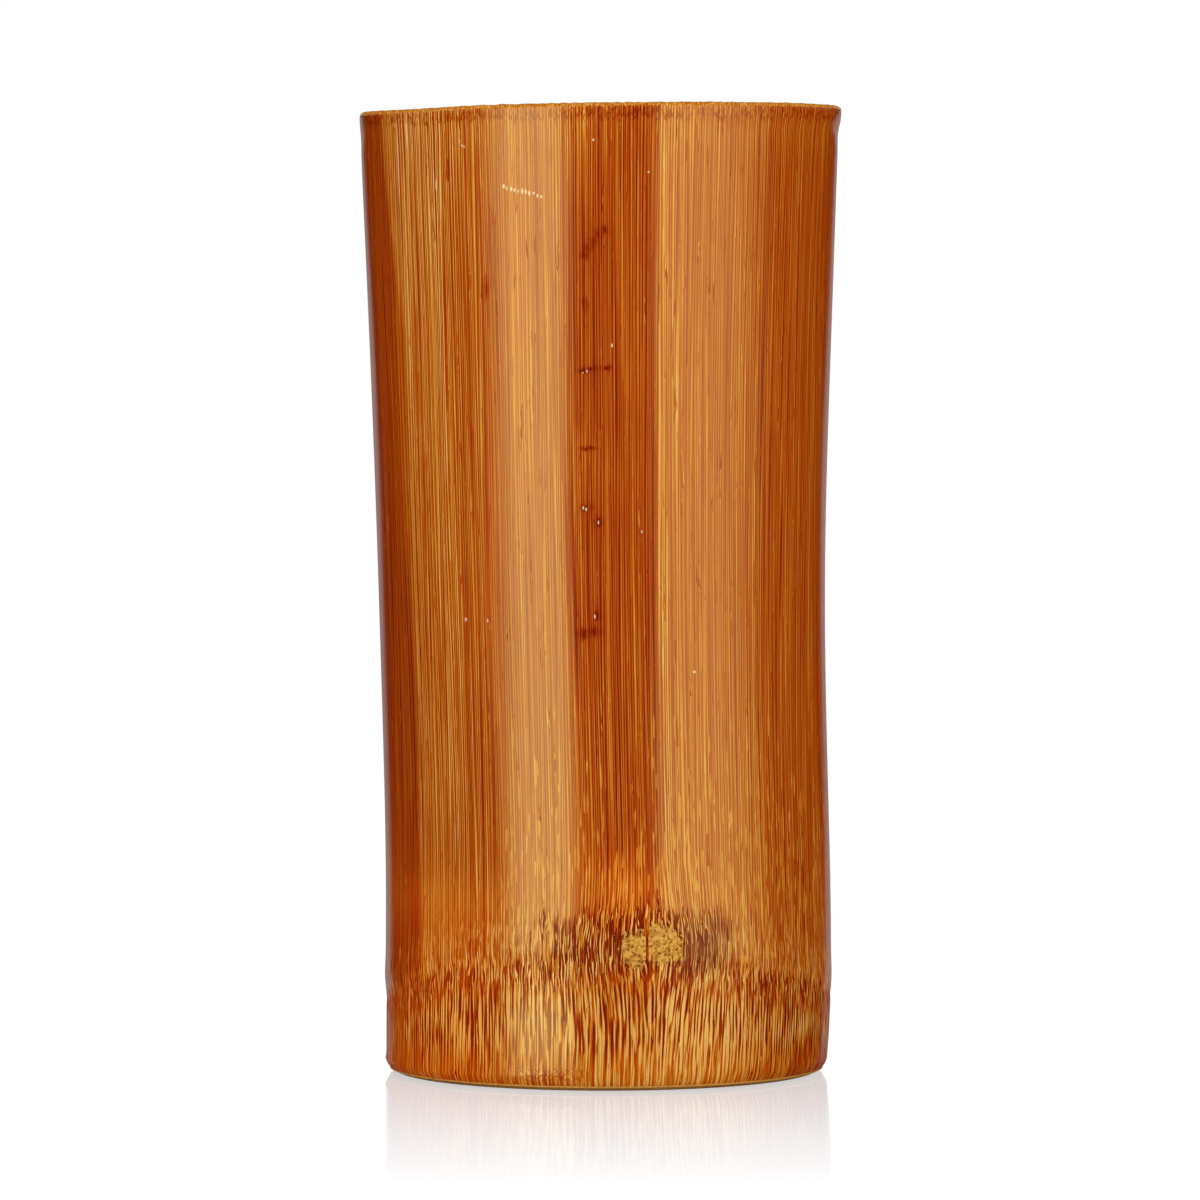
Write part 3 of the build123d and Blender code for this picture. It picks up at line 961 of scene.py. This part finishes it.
def branch_scar(node, side, width, spread, material, seed):
    """The end of a branch, sanded flush. side is +1 or -1, for its side of the crack.

    spread is how far its smeared edge reaches, as a share of its size.
    """
    low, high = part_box(node)
    middle_height, half_height = (low[2] + high[2]) / 2, (high[2] - low[2]) / 2
    radius = float(culm_radius(middle_height))
    middle_angle = CRACK_ANGLE + side * (CRACK_WIDTH + width) / 2 / radius
    around = np.linspace(0, TURN, SCAR_COLUMNS, endpoint=False)
    ragged = spread + 0.07 * wander(around, 0 * around, 30 * MM, 1, seed)
    ragged = ragged + 0.05 * wander(around, 0 * around, 8 * MM, 1, seed + 1)
    across = np.cos(around) * ragged * width / 2
    at_crack = side * np.cos(around) < 0
    flat_side = -side * (np.abs(np.cos(around)) ** 0.25) * (width + CRACK_WIDTH) / 2
    across = np.where(at_crack, flat_side, across)
    along = np.sin(around) * ragged * half_height

    def patch(share, offset):
        angle = middle_angle + across * share / radius
        height = middle_height + along * share
        return on_culm(angle, height, offset + unevenness(angle, height)), grain_place(angle, height)

    shares = steps(11)
    tops = [patch(share, SCAR_PROUD - SCAR_EDGE_SINK * share ** 24) for share in shares]
    unders = [patch(share, -SCAR_THICKNESS) for share in (0.9, 0.5)]
    middle = np.array([middle_angle]), np.array([middle_height])
    top_middle = on_culm(*middle, SCAR_PROUD + unevenness(*middle))[0]
    under_middle = on_culm(*middle, -SCAR_THICKNESS + unevenness(*middle))[0]
    centre = grain_place(*middle)
    grains = np.concatenate([row[1] for row in tops + unders] + [centre, centre])
    edge = np.outer(shares, 1 - 0.3 * at_crack * np.abs(np.cos(around)) ** 0.5)
    edge = np.concatenate([edge.ravel(), np.ones(2 * len(around)), [0, 1]])
    top = np.array([row[0] for row in tops])
    under = np.array([row[0] for row in unders])
    fields = {"grain": grains, "edge": edge}
    piece = lens_piece(node + "_end", top, under, top_middle, under_middle, material, fields)
    dress(piece, node)


# Stage

CAMERA_DISTANCE = 1145 * MM
CAMERA_HEIGHT = 115 * MM
PHOTO_SIZE = 1200
FOCAL_PIXELS = 7360
HORIZON_ROW = 332.2
CAMERA_X = 0.08 * MM
SENSOR = 36.0  # Blender's camera sizes are in millimetres
SOFTBOX_SIZE = 0.8
SOFTBOX_HEIGHT = 0.25
SOFTBOX_AIM = 0.08  # the height on the cup that the lamps face
SOFTBOX_COLOUR = (1.0, 1.0, 0.38)  # in reflections: the photo's highlights are warm
EVEN_LIGHT = (0.45, 0.45, 0.45, 1)
WHITE = (1, 1, 1, 1)
FLOOR_REACH = 3.0
FLOOR_DROP = 0.02 * MM  # keeps the floor clear of the foot
FLOOR_GLOSS = 0.40  # at the cup's edge
GLOSS_START = 34 * MM  # from the middle
GLOSS_END = 164 * MM


def place_camera():
    data = bpy.data.cameras.new("camera")
    data.sensor_width = SENSOR
    data.lens = SENSOR * FOCAL_PIXELS / PHOTO_SIZE
    camera = bpy.data.objects.new("camera", data)
    tilt = atan((PHOTO_SIZE / 2 - HORIZON_ROW) / FOCAL_PIXELS)
    camera.location = (CAMERA_X, -CAMERA_DISTANCE, CAMERA_HEIGHT)
    camera.rotation_euler = (pi / 2 - tilt, 0, 0)
    bpy.context.collection.objects.link(camera)
    bpy.context.scene.camera = camera


def place_softbox(name, azimuth, radiance):
    """An area lamp that faces the cup, from an angle round it. Its reflection is drawn by the world."""
    data = bpy.data.lights.new(name, "AREA")
    data.shape = "RECTANGLE"
    data.size, data.size_y = SOFTBOX_SIZE, SOFTBOX_SIZE
    data.energy = radiance * pi * SOFTBOX_SIZE * SOFTBOX_SIZE
    lamp = bpy.data.objects.new(name, data)
    lamp.location = (sin(azimuth), -cos(azimuth), SOFTBOX_HEIGHT)
    aim = Vector((0, 0, SOFTBOX_AIM)) - lamp.location
    lamp.rotation_euler = aim.to_track_quat("-Z", "Y").to_euler()
    lamp.visible_glossy = False
    bpy.context.collection.objects.link(lamp)


def reflected_box(s, azimuth, fade_in, full_from, full_to, fade_out, brightness):
    """A softbox in reflections, between angles round the cup in degrees."""
    start = s.ease(azimuth, radians(fade_in), radians(full_from))
    end = s.ease(azimuth, radians(fade_out), radians(full_to))
    return s.times(start, end, brightness)


def light_world():
    """Even light all round, softboxes and a white backdrop in reflections, and white for the camera."""
    world = bpy.data.worlds.new("studio")
    world.use_nodes = True
    s = Nodes(world.node_tree)
    path = s.tree.nodes.new("ShaderNodeLightPath").outputs
    direction = s.tree.nodes.new("ShaderNodeTexCoord").outputs["Generated"]
    _, y, z = s.split(direction)
    azimuth = s.angle_of(direction)
    left = reflected_box(s, azimuth, -61, -42, -23, -13, 3.5)
    right = reflected_box(s, azimuth, 27, 29, 50, 100, 1.65)
    over_floor = s.ease(z, -0.24, -0.12, 0.2, 1.0)
    tall = s.times(over_floor, s.ease(z, 0.7, 0.4))
    backdrop = s.times(s.ease(s.add(y, s.times(z, -0.8)), 0.92, 0.94, 0.0, 0.32), over_floor)
    overhead = s.times(s.ease(z, 0.08, 0.095), s.ease(y, 0.93, 0.96, 0.12, 1.0))
    white = s.most(backdrop, overhead)
    soft = s.times(s.add(left, right), tall)
    glossy = s.join(*[s.add(s.times(soft, share), white) for share in SOFTBOX_COLOUR])
    unseen = s.mix(path["Is Glossy Ray"], EVEN_LIGHT, glossy)
    seen = s.most(path["Is Camera Ray"], path["Is Transmission Ray"])
    background = s.tree.nodes["Background"]
    s.put(background.inputs["Color"], s.mix(seen, unseen, WHITE))
    background.inputs["Strength"].default_value = 1.0
    bpy.context.scene.world = world


def lay_floor():
    """A white floor with a faint gloss near the cup."""
    mesh = bpy.data.meshes.new("floor")
    corners = [(-1, -1, 0), (1, -1, 0), (1, 1, 0), (-1, 1, 0)]
    mesh.from_pydata([Vector(corner) * FLOOR_REACH for corner in corners], [], [(0, 1, 2, 3)])
    s = Shader("floor")
    seen = s.tree.nodes.new("ShaderNodeLightPath").outputs["Is Camera Ray"]
    s.set(Base_Color=s.mix(seen, (0.9, 0.9, 0.9, 1), (0.10, 0.10, 0.10, 1)), Roughness=0.9,
          Specular_IOR_Level=0.0, Emission_Color=WHITE, Emission_Strength=s.times(seen, 0.96))
    gloss = s.tree.nodes.new("ShaderNodeBsdfGlossy")
    gloss.inputs["Color"].default_value = WHITE
    gloss.inputs["Roughness"].default_value = 0.0
    place = s.tree.nodes.new("ShaderNodeTexCoord").outputs["Object"]
    fade = FLOOR_GLOSS / (GLOSS_END - GLOSS_START)
    share = s.most(0.0, s.scaled(s.vector("LENGTH", place), -fade, GLOSS_END * fade))
    share = s.times(share, s.ease(s.split(place)[1], 30 * MM, 0.0))
    blend = s.tree.nodes.new("ShaderNodeMixShader")
    s.put(blend.inputs[0], share)
    s.put(blend.inputs[1], s.surface.outputs[0])
    s.put(blend.inputs[2], gloss.outputs[0])
    s.put(s.output.inputs[0], blend.outputs[0])
    mesh.materials.append(s.material)
    floor = bpy.data.objects.new("floor", mesh)
    floor.location = (0, 0, -FLOOR_DROP)
    floor.visible_glossy = False
    bpy.context.collection.objects.link(floor)


lacquered_skin()
culm_wall()
pith_lining()
node_septum()
scar_material = branch_scar_material()
branch_scar("main_branch_scar", 1, MAIN_SCAR_WIDTH, MAIN_SCAR_SPREAD, scar_material, 71)
branch_scar("side_branch_scar", -1, SIDE_SCAR_WIDTH, SIDE_SCAR_SPREAD, scar_material, 81)
place_camera()
place_softbox("left_softbox", radians(-38), 2.62)
place_softbox("right_softbox", radians(55), 2.5)
light_world()
lay_floor()
bpy.context.scene.view_settings.view_transform = "Standard"
